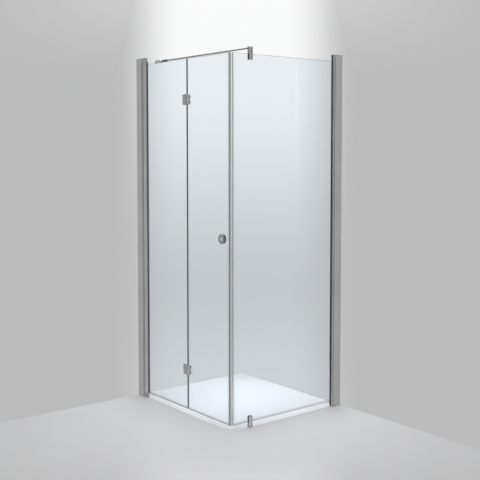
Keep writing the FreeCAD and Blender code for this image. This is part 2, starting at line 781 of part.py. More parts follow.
def knob(label, seat, turn):
    """Turn one flat round knob with a dished front, its axis along Y."""
    body = new_body(label, "knob_x", seat, "knob_height", turn)
    bore = "knob_bolt_dia / 2 + fit_gap"
    profile = [
        (bore, "0"),
        ("knob_dia / 2 - knob_back", "0"),
        ("knob_dia / 2", "knob_back"),
        ("knob_dia / 2", "knob_reach"),
        ("0", "knob_reach"),
        ("0", "knob_bolt_in"),
        (bore, "knob_bolt_in"),
    ]
    turn_on(body, "XY_Plane", "V_Axis", profile)
    soften(body, rim_edges(body, "YMax"), "knob_round")
    dish = body.newObject("PartDesign::SubtractiveSphere", body.Name + "_dish")
    bind(dish, "Radius", "dish_radius")
    bind(dish, "Placement.Base.y", "knob_reach + dish_radius - dish_deep")


def hinge_points(hand, axis):
    """List the four screw centres of one leaf."""
    return [
        (f"{axis} + {hand} * hinge_screw_out", f"{middle} + {rise} * hinge_screw_rise")
        for middle in HINGES.values()
        for rise in (-1, 1)
    ]


def fold_hinges():
    """Build both fold hinges: wings, pins, clamping discs, gaskets and screws."""
    pins = new_body("fold_hinge_pins", "fold_x", "fold_y")
    for level, middle in HINGES.items():
        hinge_wing(f"{level}_hinge_inner_wing", middle, -1)
        hinge_wing(f"{level}_hinge_outer_wing", middle, 1)
        top = f"{middle} + plate_half"
        bottom = f"{middle} - plate_half"
        profile = [
            ("0", f"{bottom} - pin_cap_tall"),
            ("pin_cap_dia / 2", f"{bottom} - pin_cap_tall"),
            ("pin_cap_dia / 2", bottom),
            ("hinge_pin_dia / 2", bottom),
            ("hinge_pin_dia / 2", top),
            ("pin_cap_dia / 2", top),
            ("pin_cap_dia / 2", f"{top} + pin_cap_tall"),
            ("0", f"{top} + pin_cap_tall"),
        ]
        turn_on(pins, "XZ_Plane", "V_Axis", profile)
    for leaf, hand in (("inner", -1), ("outer", 1)):
        hinge_gaskets(f"{leaf}_hinge_gaskets", hand)
        glass_discs(f"{leaf}_glass_discs", hand)
        hinge_screws(f"{leaf}_hinge_screws", hand)


def hinge_wing(label, middle, hand):
    """Build the plate of one hinge half with its knuckle: the lower one on the first leaf."""
    body = new_body(label, "fold_x", "fold_y", middle)
    outline = rectangle(f"{hand} * plate_near", "-plate_half", f"{hand} * plate_far", "plate_half")
    pad(body, draw(body, "XZ_Plane", [outline], lift="-plate_seat"), "plate_thick")
    far = "XMax" if hand > 0 else "XMin"
    corners = straight_edges(body, "Y", (far, "ZMin")) + straight_edges(body, "Y", (far, "ZMax"))
    soften(body, corners, "plate_round")
    soften(body, rim_edges(body, "YMin"), "plate_edge")
    base = "knuckle_gap / 2" if hand > 0 else "-plate_half"
    tall = "plate_half - knuckle_gap / 2"
    bridge_start = f"{hand} * (plate_near + 2 * plate_edge)"
    bridge = rectangle(bridge_start, "plate_front", "0", "plate_front + bridge_thick")
    pad(body, draw(body, "XY_Plane", [bridge], lift=base), tall)
    pad(body, draw(body, "XY_Plane", circles=[("0", "0", "knuckle_dia")], lift=base), tall)
    cut(body, draw(body, "XY_Plane", circles=[("0", "0", "pin_bore")]), "2 * plate_tall")
    holes = [(f"{hand} * hinge_screw_out", f"{rise} * hinge_screw_rise", "screw_bore") for rise in (-1, 1)]
    cut(body, draw(body, "XZ_Plane", circles=holes, lift="-plate_seat"), "2 * thread_deep")


def hinge_gaskets(label, hand):
    """Build the soft sheets between the hinge plates and the glass of one leaf, as one group."""
    body = new_body(label, "fold_x", "door_y")
    sheets = [
        rectangle(
            f"{hand} * (plate_near + gasket_inset)",
            f"{middle} - (plate_half - gasket_inset)",
            f"{hand} * (plate_far - plate_round / 2)",
            f"{middle} + (plate_half - gasket_inset)",
        )
        for middle in HINGES.values()
    ]
    holes = [(x, z, "screw_bore") for x, z in hinge_points(hand, "0")]
    pad(body, draw(body, "XZ_Plane", sheets, holes, "glass_half"), "plate_gasket")


def glass_discs(label, hand):
    """Turn the coned discs that sit flush in the glass of one leaf under the screw heads, as one group."""
    body = new_body(label, "fold_x", "door_y")
    neck = "glass_hole / 2 - fit_gap"
    head = "hinge_head_dia / 2 + head_play"
    seat = "glass_half - hinge_head_tall"
    profile = [
        ("screw_bore / 2", "-glass_half"),
        (neck, "-glass_half"),
        (neck, "glass_half - disc_cone"),
        ("disc_dia / 2 - fit_gap", "glass_half"),
        (head, "glass_half"),
        (head, seat),
        ("screw_bore / 2", seat),
    ]
    for x, z in hinge_points(hand, "0"):
        turn_on(body, "XY_Plane", "V_Axis", profile, z, x)


def hinge_screws(label, hand):
    """Build the socket screws that clamp the plates of one leaf through its glass, as one group."""
    body = new_body(label, "fold_x", "door_y")
    points = hinge_points(hand, "0")
    heads = [(x, z, "hinge_head_dia") for x, z in points]
    pad(body, draw(body, "XZ_Plane", circles=heads, lift="-glass_half"), "hinge_head_tall")
    tip = "glass_half + plate_gasket + thread_deep"
    under_head = "glass_half - hinge_head_tall"
    shafts = [(x, z, "hinge_screw_dia") for x, z in points]
    pad(body, draw(body, "XZ_Plane", circles=shafts, lift=f"-({under_head})"), f"{under_head} + {tip}")
    sockets = [hexagon(x, z, "socket_across") for x, z in points]
    cut(body, draw(body, "XZ_Plane", sockets, lift="-glass_half"), "2 * socket_deep")


def grub_screws(label, screws):
    """Build headless screws as one group, each from its outer end along its plane's normal or against it."""
    body = new_body(label)
    for plane, x, y, end, way, length in screws:
        middle = f"{end} + {way} * ({length}) / 2"
        pad(body, draw(body, plane, circles=[(x, y, "grub_dia")], lift=middle), length, "Symmetric")
    for plane, x, y, end, way, length in screws:
        cut(body, draw(body, plane, [hexagon(x, y, "socket_across")], lift=end), "2 * socket_deep")


def clamps():
    """Build the clamp on the panel's upper edge and the foot clamp under its lower edge."""
    half = "clamp_thick / 2"
    foot = new_body("foot_clamp", "panel_x", "bar_y")
    floor = "glass_base - liner_thick"
    section = [
        (f"-{half}", "base_pad"),
        (half, "base_pad"),
        (half, "glass_base + clamp_grip"),
        ("clamp_slot_half", "glass_base + clamp_grip"),
        ("clamp_slot_half", floor),
        ("-clamp_slot_half", floor),
        ("-clamp_slot_half", "glass_base + clamp_grip"),
        (f"-{half}", "glass_base + clamp_grip"),
    ]
    finish_clamp(foot, section)
    foot_grub = "glass_base + clamp_grip / 2"
    hole = [("0", foot_grub, "grub_bore")]
    cut(foot, draw(foot, "YZ_Plane", circles=hole, lift=f"-{half}"), "2 * grub_long")
    clamp_liner("foot_clamp_liner", "glass_base", 1)
    pad_body = new_body("foot_base_pad", "panel_x", "bar_y")
    outline = rectangle(
        f"-({half} - liner_inset)",
        "-(clamp_wide / 2 - liner_inset)",
        f"{half} - liner_inset",
        "clamp_wide / 2 - liner_inset",
    )
    pad(pad_body, draw(pad_body, "XY_Plane", [outline]), "base_pad")

    upper = new_body("bar_clamp", "panel_x", "bar_y")
    roof = "glass_top + liner_thick"
    section = [
        (f"-{half}", "clamp_roof"),
        (half, "clamp_roof"),
        (half, "glass_top - clamp_grip"),
        ("clamp_slot_half", "glass_top - clamp_grip"),
        ("clamp_slot_half", roof),
        ("-clamp_slot_half", roof),
        ("-clamp_slot_half", "glass_top - clamp_grip"),
        (f"-{half}", "glass_top - clamp_grip"),
    ]
    finish_clamp(upper, section)
    upper_grub = "glass_top - clamp_grip / 2"
    hole = [("0", upper_grub, "grub_bore")]
    cut(upper, draw(upper, "YZ_Plane", circles=hole, lift=f"-{half}"), "2 * grub_long")
    bore = [("0", "bar_z", "bar_dia + 2 * run_gap")]
    cut(upper, draw(upper, "YZ_Plane", circles=bore, lift=f"-{half}"), "2 * bar_bore_deep")
    hole = [("clamp_lock_x - panel_x", "0", "grub_bore")]
    cut(upper, draw(upper, "XY_Plane", circles=hole, lift="clamp_roof"), "2 * (clamp_roof - bar_z)")
    clamp_liner("bar_clamp_liner", "glass_top", -1)
    face = f"panel_x - {half}"
    jaws = [("YZ_Plane", "bar_y", height, face, 1, "grub_long") for height in (foot_grub, upper_grub)]
    grub_screws("clamp_grub_screws", jaws)


def finish_clamp(body, section):
    """Raise a clamp's section to its width and round its outer edges."""
    pad(body, draw(body, "XZ_Plane", [section]), "clamp_wide", "Symmetric")
    names = [
        name
        for side in ("XMin", "XMax")
        for along, ends in (("Z", ("YMin", "YMax")), ("Y", ("ZMin", "ZMax")))
        for end in ends
        for name in straight_edges(body, along, (side, end))
    ]
    soften(body, names, "clamp_round")


def clamp_liner(label, edge, way):
    """Build the soft lining between a clamp and the glass; `way` points from the edge into the pane."""
    body = new_body(label, "panel_x", "bar_y")
    tip = f"{edge} + {way} * (clamp_grip - liner_inset)"
    floor = f"{edge} - ({way}) * liner_thick"
    section = [
        ("-clamp_slot_half", floor),
        ("clamp_slot_half", floor),
        ("clamp_slot_half", tip),
        ("glass_half", tip),
        ("glass_half", edge),
        ("-glass_half", edge),
        ("-glass_half", tip),
        ("-clamp_slot_half", tip),
    ]
    pad(body, draw(body, "XZ_Plane", [section]), "clamp_wide - 2 * liner_inset", "Symmetric")


def support_bar():
    """Build the bar from the first wall to the upper clamp, with its wall fitting."""
    bar_start = "socket_start + socket_long - socket_bore_deep"
    bar = new_body("support_bar", f"wall_x + {bar_start}", "bar_y", "bar_z")
    ring = [("0", "0", "bar_dia"), ("0", "0", "bar_dia - 2 * bar_wall")]
    length = f"door_side - clamp_thick / 2 + bar_bore_deep - ({bar_start})"
    pad(bar, draw(bar, "YZ_Plane", circles=ring), length)

    rosette = new_body("bar_wall_rosette", "wall_x", "bar_y", "bar_z")
    profile = [
        ("0", "stud_hole_dia / 2"),
        ("0", "rosette_dia / 2"),
        ("rosette_thick", "rosette_dia / 2"),
        ("rosette_thick", "rosette_neck_dia / 2"),
        ("socket_start", "rosette_neck_dia / 2"),
        ("socket_start", "stem_dia / 2"),
        ("socket_start + stem_long", "stem_dia / 2"),
        ("socket_start + stem_long", "0"),
        ("stud_hole_deep", "0"),
        ("stud_hole_deep", "stud_hole_dia / 2"),
    ]
    turn_on(rosette, "XY_Plane", "H_Axis", profile)

    socket = new_body("bar_socket", "wall_x + socket_start", "bar_y", "bar_z")
    bar_bore = "bar_dia / 2 + run_gap"
    stem_bore = "stem_dia / 2 + fit_gap"
    web_start = "stem_long + edge_gap"
    web_end = "socket_long - socket_bore_deep"
    profile = [
        ("0", stem_bore),
        ("0", "socket_dia / 2 - socket_bevel"),
        ("socket_bevel", "socket_dia / 2"),
        ("socket_long - socket_bevel", "socket_dia / 2"),
        ("socket_long", "socket_dia / 2 - socket_bevel"),
        ("socket_long", bar_bore),
        (web_end, bar_bore),
        (web_end, "0"),
        (web_start, "0"),
        (web_start, stem_bore),
    ]
    turn_on(socket, "XY_Plane", "H_Axis", profile)
    hole = [("socket_lock_x - wall_x - socket_start", "0", "grub_bore")]
    cut(socket, draw(socket, "XY_Plane", circles=hole, lift="-socket_dia / 2"), "socket_dia")
    under = "bar_z - bar_dia / 2 - lock_long"
    locks = [
        ("XY_Plane", "clamp_lock_x", "bar_y", "clamp_roof", -1, "lock_long"),
        ("XY_Plane", "socket_lock_x", "bar_y", under, 1, "lock_long"),
    ]
    grub_screws("bar_lock_screws", locks)

    collar = new_body("bar_locking_collar", "wall_x + collar_start", "bar_y", "bar_z")
    profile = [
        ("0", bar_bore),
        ("0", "collar_dia / 2 - collar_bevel"),
        ("collar_bevel", "collar_dia / 2"),
        ("collar_long - collar_bevel", "collar_dia / 2"),
        ("collar_long", "collar_dia / 2 - collar_bevel"),
        ("collar_long", bar_bore),
    ]
    turn_on(collar, "XY_Plane", "H_Axis", profile)


left_side()
right_side()
lock_screws(PROFILE_SCREWS + BLOCK_SCREWS, PROFILE_SCREWS)
pivots()
inner_leaf()
outer_leaf()
fold_hinges()
clamps()
support_bar()
doc.recompute()

os.makedirs("parts", exist_ok=True)
for item in doc.Objects:
    if "Invalid" in item.State or "Error" in item.State:
        raise RuntimeError(f"{item.Label} did not build: {item.State}")
for body in doc.findObjects("PartDesign::Body"):
    shape = body.Shape
    if shape.isNull() or not shape.isValid():
        raise RuntimeError(f"{body.Label} has no valid shape")
    shape.exportStep(os.path.join("parts", body.Label + ".step"))
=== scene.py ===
"""Looks of the corner shower enclosure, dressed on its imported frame.

Lengths are in metres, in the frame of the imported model: X runs along the door towards the side panel, Y runs
from the door into the shower and Z is up from the floor.
"""
import logging
import math
from abc import ABC, abstractmethod
from dataclasses import dataclass, field, replace
from enum import Enum
from functools import cache
from typing import ClassVar

import bpy
import numpy as np
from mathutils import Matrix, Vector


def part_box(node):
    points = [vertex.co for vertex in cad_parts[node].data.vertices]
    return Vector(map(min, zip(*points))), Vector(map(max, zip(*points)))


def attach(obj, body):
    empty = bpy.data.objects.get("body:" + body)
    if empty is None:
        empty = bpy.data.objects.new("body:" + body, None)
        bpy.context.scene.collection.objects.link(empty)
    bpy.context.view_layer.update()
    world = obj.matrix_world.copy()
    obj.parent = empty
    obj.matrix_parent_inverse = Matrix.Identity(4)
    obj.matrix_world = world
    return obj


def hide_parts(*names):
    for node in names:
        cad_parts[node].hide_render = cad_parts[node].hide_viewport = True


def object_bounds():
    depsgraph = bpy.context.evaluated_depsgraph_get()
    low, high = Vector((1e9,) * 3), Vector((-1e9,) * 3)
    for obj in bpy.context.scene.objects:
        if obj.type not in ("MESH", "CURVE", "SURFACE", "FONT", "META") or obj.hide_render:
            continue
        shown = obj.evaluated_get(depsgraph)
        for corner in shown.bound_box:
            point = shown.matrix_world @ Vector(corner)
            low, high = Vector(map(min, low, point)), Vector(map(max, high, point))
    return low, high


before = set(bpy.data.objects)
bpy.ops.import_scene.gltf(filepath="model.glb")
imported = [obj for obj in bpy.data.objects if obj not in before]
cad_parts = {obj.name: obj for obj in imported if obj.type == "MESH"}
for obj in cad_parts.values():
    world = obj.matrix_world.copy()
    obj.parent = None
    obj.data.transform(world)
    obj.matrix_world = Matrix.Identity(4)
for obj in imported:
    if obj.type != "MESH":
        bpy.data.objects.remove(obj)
CAD_BOX = [list(corner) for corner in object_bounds()]

log = logging.getLogger("enclosure")

Colour = tuple[float, float, float, float]
Point = tuple[float, float, float]
Node = bpy.types.Node
Socket = bpy.types.NodeSocket
Value = float | Socket

X, Y, Z = np.eye(3)


class Body(Enum):
    """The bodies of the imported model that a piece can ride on."""

    FRAME = "frame"
    INNER_LEAF = "inner_leaf"
    OUTER_LEAF = "outer_leaf"


class Axis(Enum):
    """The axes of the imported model."""

    X = 0
    Y = 1
    Z = 2


class Shader:
    """The node tree of a material or of the surroundings, with short calls that add nodes and join them."""

    def __init__(self, owner: bpy.types.Material | bpy.types.World) -> None:
        """Start an empty tree.

        Args:
            owner: The material or world that the tree belongs to.
        """
        self.owner = owner
        owner.use_nodes = True
        self.tree = owner.node_tree
        self.tree.nodes.clear()
        self.coordinates = self.add("ShaderNodeTexCoord")

    def add(self, kind: str, inputs: dict[str | int, object] | None = None, **settings: object) -> Node:
        """Add a node.

        Args:
            kind: Blender's name of the node's type.
            inputs: Values, or outputs of other nodes, by the name or number of the input socket.
            settings: Properties of the node itself.

        Returns:
            The new node.
        """
        node = self.tree.nodes.new(kind)
        for name, value in settings.items():
            setattr(node, name, value)
        for name, value in (inputs or {}).items():
            if isinstance(value, Socket):
                self.tree.links.new(value, node.inputs[name])
            else:
                node.inputs[name].default_value = value
        return node

    def noise(self, scale: Point, detail: float = 3.0, rough: float = 0.55) -> Socket:
        """Add noise on the object's own coordinates.

        Args:
            scale: Noise cells per metre along each axis.
            detail: Number of finer layers.
            rough: Strength of the finer layers.

        Returns:
            The noise value, about 0.5 in the mean.
        """
        place = self.add("ShaderNodeMapping", {"Vector": self.coordinates.outputs["Object"], "Scale": scale})
        sockets = {"Vector": place.outputs[0], "Scale": 1.0, "Detail": detail, "Roughness": rough}
        return self.add("ShaderNodeTexNoise", sockets).outputs[0]

    def spread(self, value: Socket, low: float, high: float) -> Socket:
        """Stretch a noise value between two limits.

        Args:
            value: The noise value.
            low: The result where the noise is weak.
            high: The result where the noise is strong.

        Returns:
            The stretched value.
        """
        sockets = {"Value": value, "From Min": 0.3, "From Max": 0.7, "To Min": low, "To Max": high}
        return self.add("ShaderNodeMapRange", sockets).outputs[0]

    def ramp(self, value: Socket, start: float, end: float, low: float, high: float) -> Socket:
        """Lead a value softly from one limit to another.

        Args:
            value: The value that is followed.
            start: The value at which the result leaves its first limit.
            end: The value at which the result reaches its second limit.
            low: The first limit.
            high: The second limit.

        Returns:
            The result.
        """
        sockets = {"Value": value, "From Min": start, "From Max": end, "To Min": low, "To Max": high}
        return self.add("ShaderNodeMapRange", sockets, interpolation_type="SMOOTHSTEP").outputs[0]

    def tint(self, value: Socket, low: Colour | Socket, high: Colour) -> Socket:
        """Turn a value from 0 to 1 into a colour between two others.

        Args:
            value: The share of the second colour.
            low: The colour at 0, itself or as a socket.
            high: The colour at 1.

        Returns:
            The mixed colour.
        """
        mix = self.add("ShaderNodeMix", {0: value, 6: low, 7: high}, data_type="RGBA")
        return mix.outputs[2]

    def sum(self, kind: str, first: Value, second: Value = 0.0) -> Socket:
        """Work out one sum of two values.

        Args:
            kind: Blender's name of the operation.
            first: The first value or socket.
            second: The second value or socket, if the operation has one.

        Returns:
            The result.
        """
        return self.add("ShaderNodeMath", {0: first, 1: second}, operation=kind).outputs[0]

    def distance(self, place: Point, count: Point) -> Socket:
        """Measure the distance from a place, with each axis counted as given.

        Args:
            place: The place, in the object's own coordinates.
            count: How much each axis counts, from 0 to 1.

        Returns:
            The distance in metres.
        """
        sockets = {"Vector": self.coordinates.outputs["Object"], "Location": place}
        offset = self.add("ShaderNodeMapping", sockets, vector_type="TEXTURE").outputs[0]
        counted = self.add("ShaderNodeVectorMath", {0: offset, 1: count}, operation="MULTIPLY").outputs[0]
        return self.add("ShaderNodeVectorMath", {0: counted}, operation="LENGTH").outputs["Value"]

    def bump(self, height: Socket, strength: float, depth: float) -> Socket:
        """Turn a height into a bumped normal.

        Args:
            height: The height, from 0 to 1.
            strength: Share of the bump that shows.
            depth: Height of the bump.

        Returns:
            The normal.
        """
        sockets = {"Height": height, "Strength": strength, "Distance": depth}
        return self.add("ShaderNodeBump", sockets).outputs[0]

    def mix(self, share: Value, first: Node, second: Node) -> Node:
        """Mix two shaders.

        Args:
            share: The share of the second shader, a value or a socket.
            first: The first shader node.
            second: The second shader node.

        Returns:
            The mixing node.
        """
        return self.add("ShaderNodeMixShader", {0: share, 1: first.outputs[0], 2: second.outputs[0]})

    def sheen(self, least: float) -> Socket:
        """Give the mirror's share of a clear face: least + (1 - least) times the fifth power of its tilt.

        Args:
            least: The share where the face is seen square on.

        Returns:
            The share.
        """
        tilt = self.add("ShaderNodeLayerWeight", {"Blend": 0.5}).outputs["Facing"]
        power = self.sum("POWER", tilt, 5.0)
        return self.sum("ADD", self.sum("MULTIPLY", power, 1.0 - least), least)

    def close(self, surface: Node) -> bpy.types.Material | bpy.types.World:
        """Join a shader to the output.

        Args:
            surface: The last shader node.

        Returns:
            The finished material or world.
        """
        kind = "World" if isinstance(self.owner, bpy.types.World) else "Material"
        self.add("ShaderNodeOutput" + kind, {"Surface": surface.outputs[0]})
        return self.owner


@dataclass(frozen=True)
class Finish(ABC):
    """A surface finish, which makes its own material once and gives it to every piece that has it."""

    name: str
    slot: str
    shades: ClassVar[bool] = True

    @abstractmethod
    def make(self) -> bpy.types.Material:
        """Build the finish's material."""

    @cache
    def material(self) -> bpy.types.Material:
        """Give the finish's material, which is made the first time that it is asked for."""
        return self.make()


@dataclass(frozen=True)
class BrightMetal(Finish):
    """Polished metal with fine lines along the way it was drawn, and a faint cloudy film."""

    dark: Colour
    light: Colour
    smooth: float
    dull: float
    drawn: Axis = Axis.Z
    line: float = 0.0012
    line_depth: float = 0.00002

    def make(self) -> bpy.types.Material:
        """Build the metal: long thin noise for the lines, broad noise for the film.

        Returns:
            The material.
        """
        shader = Shader(bpy.data.materials.new(self.name))
        fine = [1.0 / self.line] * 3
        fine[self.drawn.value] = 1.5
        lines = shader.noise(tuple(fine), 2.0)
        film = shader.noise((7.0, 7.0, 7.0), 4.0)
        both = shader.sum("MULTIPLY", shader.sum("ADD", lines, film), 0.5)
        metal = shader.add(
            "ShaderNodeBsdfPrincipled",
            {
                "Base Color": self.colour(shader, both),
                "Metallic": 1.0,
                "Roughness": shader.spread(both, self.smooth, self.dull),
                "Normal": shader.bump(lines, 0.25, self.line_depth),
            },
        )
        return shader.close(metal)

    def colour(self, shader: Shader, share: Socket) -> Socket:
        """Give the metal's colour for a noise value."""
        return shader.tint(shader.spread(share, 0.0, 1.0), self.dark, self.light)


@dataclass(frozen=True, kw_only=True)
class HighlightedMetal(BrightMetal):
    """Polished metal with a painted highlight: a brighter colour painted near a place; count says how much
    each axis matters.
    """

    count: Point
    bright: Colour
    near: float
    far: float
    place: Point = (0.0, 0.0, 0.0)

    def around(self, place: np.ndarray) -> "HighlightedMetal":
        """Give the same metal, with its painted highlight near another place."""
        return replace(self, place=tuple(place.tolist()))

    def colour(self, shader: Shader, share: Socket) -> Socket:
        """Lead the colour from the painted highlight to the metal's own as the distance from the place grows.

        Args:
            shader: The node tree.
            share: The noise value of the metal's own colour.

        Returns:
            The colour.
        """
        away = shader.distance(self.place, self.count)
        highlight_share = shader.ramp(away, self.near, self.far, 1.0, 0.0)
        return shader.tint(highlight_share, super().colour(shader, share), self.bright)


@dataclass(frozen=True)
class ClearGlass(Finish):
    """Clear toughened glass: see-through faces with a mirror sheen, and blue-green polished edges."""

    through: Axis
    face: Colour = (0.955, 0.98, 0.998, 1.0)
    film: Colour = (0.86, 0.93, 0.97, 1.0)
    edge: Colour = (0.06, 0.085, 0.09, 1.0)
    edge_light: Colour = (0.11, 0.15, 0.155, 1.0)
    film_share: float = 0.04

    def make(self) -> bpy.types.Material:
        """Build the glass; its edges are the faces whose own normal is square to the pane's.

        Returns:
            The material.
        """
        shader = Shader(bpy.data.materials.new(self.name))
        clear = shader.add("ShaderNodeBsdfTransparent", {"Color": self.face})
        cloud = shader.noise((1.6, 1.6, 0.5), 3.0)
        film = shader.add("ShaderNodeBsdfDiffuse", {"Color": self.film})
        veiled = shader.mix(shader.spread(cloud, 0.4 * self.film_share, self.film_share), clear, film)
        mirror = shader.add("ShaderNodeBsdfGlossy", {"Color": (1.0, 1.0, 1.0, 1.0), "Roughness": 0.015})
        face = shader.mix(shader.sheen(0.04), veiled, mirror)

        depth = shader.noise((30.0, 30.0, 3.0), 2.0)
        edge = shader.add(
            "ShaderNodeBsdfPrincipled",
            {
                "Base Color": shader.tint(shader.spread(depth, 0.0, 1.0), self.edge, self.edge_light),
                "Roughness": shader.spread(depth, 0.08, 0.2),
                "IOR": 1.5,
                "Coat Weight": 0.6,
            },
        )
        own = shader.add("ShaderNodeSeparateXYZ", {0: shader.coordinates.outputs["Normal"]})
        square = shader.sum("ABSOLUTE", own.outputs[self.through.value])
        on_edge = shader.sum("LESS_THAN", square, 0.9)
        return shader.close(shader.mix(on_edge, face, edge))


@dataclass(frozen=True)
class ClearVinyl(Finish):
    """Soft clear extrusion, milky where it is thick and glossy outside, that hardly casts a shadow."""

    shades: ClassVar[bool] = False
    body: Colour
    cloud: Colour
    solid: float

    def make(self) -> bpy.types.Material:
        """Build the vinyl: mostly see-through, a little milk that wanders along it, and a gloss outside.

        Returns:
            The material.
        """
        shader = Shader(bpy.data.materials.new(self.name))
        drift = shader.noise((60.0, 60.0, 4.0), 3.0)
        milky = shader.tint(shader.spread(drift, 0.0, 1.0), self.body, self.cloud)
        milk = shader.add("ShaderNodeBsdfDiffuse", {"Color": milky})
        clear = shader.add("ShaderNodeBsdfTransparent", {"Color": (0.985, 0.99, 0.992, 1.0)})
        veiled = shader.mix(shader.spread(drift, 0.5 * self.solid, 1.5 * self.solid), clear, milk)
        gloss = shader.add(
            "ShaderNodeBsdfGlossy",
            {"Color": (0.9, 0.92, 0.93, 1.0), "Roughness": shader.spread(drift, 0.08, 0.2)},
        )
        return shader.close(shader.mix(shader.sheen(0.03), veiled, gloss))


@dataclass(frozen=True)
class Rubber(Finish):
    """Matt rubber with a fine grain and dusty patches."""

    deep: Colour
    dusty: Colour

    def make(self) -> bpy.types.Material:
        """Build the rubber: fine noise for the grain, broad noise for the dust.

        Returns:
            The material.
        """
        shader = Shader(bpy.data.materials.new(self.name))
        grain = shader.noise((2500.0, 2500.0, 2500.0), 2.0)
        dust = shader.noise((25.0, 25.0, 6.0), 4.0)
        rubber = shader.add(
            "ShaderNodeBsdfPrincipled",
            {
                "Base Color": shader.tint(shader.spread(dust, 0.0, 1.0), self.deep, self.dusty),
                "Roughness": shader.spread(dust, 0.5, 0.72),
                "Normal": shader.bump(grain, 0.3, 0.00005),
                "Specular IOR Level": 0.35,
            },
        )
        return shader.close(rubber)


@dataclass(frozen=True)
class Moulded(Finish):
    """Moulded plastic with a fine eggshell texture."""

    base: Colour
    shade: Colour
    smooth: float
    dull: float
    metallic: float = 0.0

    def make(self) -> bpy.types.Material:
        """Build the plastic: fine noise for the texture, broad noise for the shade.

        Returns:
            The material.
        """
        shader = Shader(bpy.data.materials.new(self.name))
        texture = shader.noise((1500.0, 1500.0, 1500.0), 2.0)
        cloud = shader.noise((18.0, 18.0, 18.0), 3.0)
        plastic = shader.add(
            "ShaderNodeBsdfPrincipled",
            {
                "Base Color": shader.tint(shader.spread(cloud, 0.0, 1.0), self.base, self.shade),
                "Metallic": self.metallic,
                "Roughness": shader.spread(cloud, self.smooth, self.dull),
                "Normal": shader.bump(texture, 0.2, 0.00004),
            },
        )
        return shader.close(plastic)


ALUMINIUM = BrightMetal(
    "channel_aluminium", "polished_aluminium", (0.58, 0.58, 0.58, 1.0), (0.72, 0.72, 0.72, 1.0), 0.12, 0.26
)
INSERT_ALUMINIUM = BrightMetal(
    "insert_aluminium", "polished_aluminium", (0.48, 0.48, 0.48, 1.0), (0.6, 0.6, 0.6, 1.0), 0.14, 0.28
)
CARRIER_ALUMINIUM = BrightMetal(
    "carrier_aluminium", "polished_aluminium", (0.5, 0.5, 0.5, 1.0), (0.64, 0.64, 0.64, 1.0), 0.16, 0.28
)
DISC_CHROME = BrightMetal(
    "disc_chrome",
    "chrome",
    (0.42, 0.43, 0.44, 1.0),
    (0.54, 0.55, 0.56, 1.0),
    0.04,
    0.11,
    line=0.004,
    line_depth=0.000005,
)
FITTING_CHROME = BrightMetal(
    "fitting_chrome", "chrome", (0.66, 0.67, 0.68, 1.0), (0.8, 0.81, 0.82, 1.0), 0.05, 0.12, Axis.X
)
# The bar's chrome is far darker than the fittings': painted shade standing in for the dark reflection along
# the bar.
BAR_CHROME = BrightMetal(
    "drawn_chrome", "chrome", (0.28, 0.285, 0.29, 1.0), (0.4, 0.405, 0.41, 1.0), 0.05, 0.14, Axis.X
)
DARK_CHROME = BrightMetal(
    "smoked_chrome", "dark_chrome", (0.15, 0.155, 0.16, 1.0), (0.24, 0.245, 0.25, 1.0), 0.1, 0.2, Axis.X
)
# Knob chrome: painted highlight, a near-white patch round the outer knob's middle, on a darkened base that is
# painted shade for the darker ring round it.
KNOB_CHROME = HighlightedMetal(
    "knob_chrome_painted_highlight",
    "chrome",
    (0.36, 0.365, 0.37, 1.0),
    (0.48, 0.485, 0.49, 1.0),
    0.06,
    0.14,
    count=(1.0, 0.0, 1.0),
    bright=(0.92, 0.925, 0.93, 1.0),
    near=0.003,
    far=0.017,
)
# Hinge wing chrome: painted highlight, a near-white band painted beside the knuckles.
WING_CHROME = HighlightedMetal(
    "wing_chrome_painted_highlight",
    "chrome",
    (0.48, 0.485, 0.49, 1.0),
    (0.58, 0.585, 0.59, 1.0),
    0.06,
    0.12,
    count=(1.0, 0.0, 0.0),
    bright=(0.98, 0.985, 0.99, 1.0),
    near=0.003,
    far=0.007,
)
# Clamp chrome: painted highlight, a near-white band painted across the clamps, on a dark base that is painted
# shade for the dark reflections on their edges.
CLAMP_CHROME = HighlightedMetal(
    "clamp_chrome_painted_highlight",
    "chrome",
    (0.34, 0.345, 0.35, 1.0),
    (0.46, 0.465, 0.47, 1.0),
    0.05,
    0.12,
    count=(0.0, 1.0, 0.0),
    bright=(0.96, 0.965, 0.97, 1.0),
    near=0.001,
    far=0.004,
)
STEEL = BrightMetal(
    "turned_steel", "steel", (0.34, 0.35, 0.36, 1.0), (0.5, 0.51, 0.52, 1.0), 0.18, 0.32, Axis.Y, 0.0006
)
# The panel's glass edges are painted lighter than the door's: painted light on the pane's front edge.
PANEL_GLASS = ClearGlass(
    "panel_clear_glass",
    "clear_glass",
    Axis.X,
    edge=(0.15, 0.19, 0.195, 1.0),
    edge_light=(0.24, 0.29, 0.3, 1.0),
)
DOOR_GLASS = ClearGlass("door_clear_glass", "clear_glass", Axis.Y)
VINYL = ClearVinyl("soft_clear_vinyl", "clear_vinyl", (0.74, 0.77, 0.79, 1.0), (0.88, 0.9, 0.91, 1.0), 0.02)
SEAL = Rubber("dark_seal_rubber", "grey_seal", (0.08, 0.083, 0.087, 1.0), (0.13, 0.134, 0.14, 1.0))
GASKET = Rubber("grey_gasket", "grey_seal", (0.2, 0.205, 0.21, 1.0), (0.28, 0.285, 0.29, 1.0))
BLACK_RUBBER = Rubber(
    "matt_black_rubber", "black_rubber", (0.012, 0.012, 0.013, 1.0), (0.035, 0.035, 0.036, 1.0)
)
DOOR_MAGNET = Rubber("grey_magnet_core", "magnet_strip", (0.42, 0.43, 0.44, 1.0), (0.52, 0.53, 0.54, 1.0))
